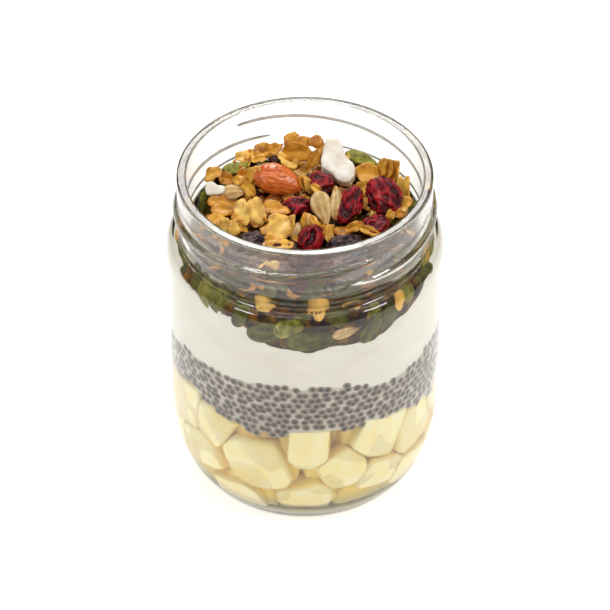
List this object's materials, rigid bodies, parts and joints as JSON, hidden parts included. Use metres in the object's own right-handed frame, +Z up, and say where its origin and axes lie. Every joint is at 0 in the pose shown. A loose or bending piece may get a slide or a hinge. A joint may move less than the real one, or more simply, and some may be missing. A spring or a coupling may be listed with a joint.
{
  "type": "jar of chia pudding",
  "caption": "Open screw-neck glass jar of layered breakfast: diced fruit, chia pudding and yogurt under a heap of granola with an almond, dried berries and coconut.",
  "frame": {"origin": "centre of the jar's base, on the surface that it stands on", "axes": "+Z up along the jar's axis; the pictured front of the jar faces -Y"},
  "size_m": [0.085, 0.085, 0.1146],
  "materials": {
    "glass": "clear polished soda-lime glass",
    "fruit": "moist pale yellow diced fruit",
    "chia": "grey-beige gel full of dark soaked seeds",
    "yogurt": "smooth creamy white",
    "granola": "toasted golden oat flakes and seeds",
    "almond": "ridged red-brown nut skin",
    "cranberry": "wrinkled glossy dark red skin",
    "raisin": "wrinkled near-black skin",
    "coconut": "waxy off-white flesh"
  },
  "bodies": {
    "root": {"jar": "glass", "diced_fruit": "fruit", "chia_pudding": "chia", "yogurt": "yogurt", "granola": "granola", "almond": "almond", "cranberry_1": "cranberry", "cranberry_2": "cranberry", "cranberry_3": "cranberry", "cranberry_4": "cranberry", "cranberry_5": "cranberry", "cranberry_6": "cranberry", "raisin_1": "raisin", "raisin_2": "raisin", "coconut_1": "coconut", "coconut_2": "coconut"}
  },
  "joints": []
}
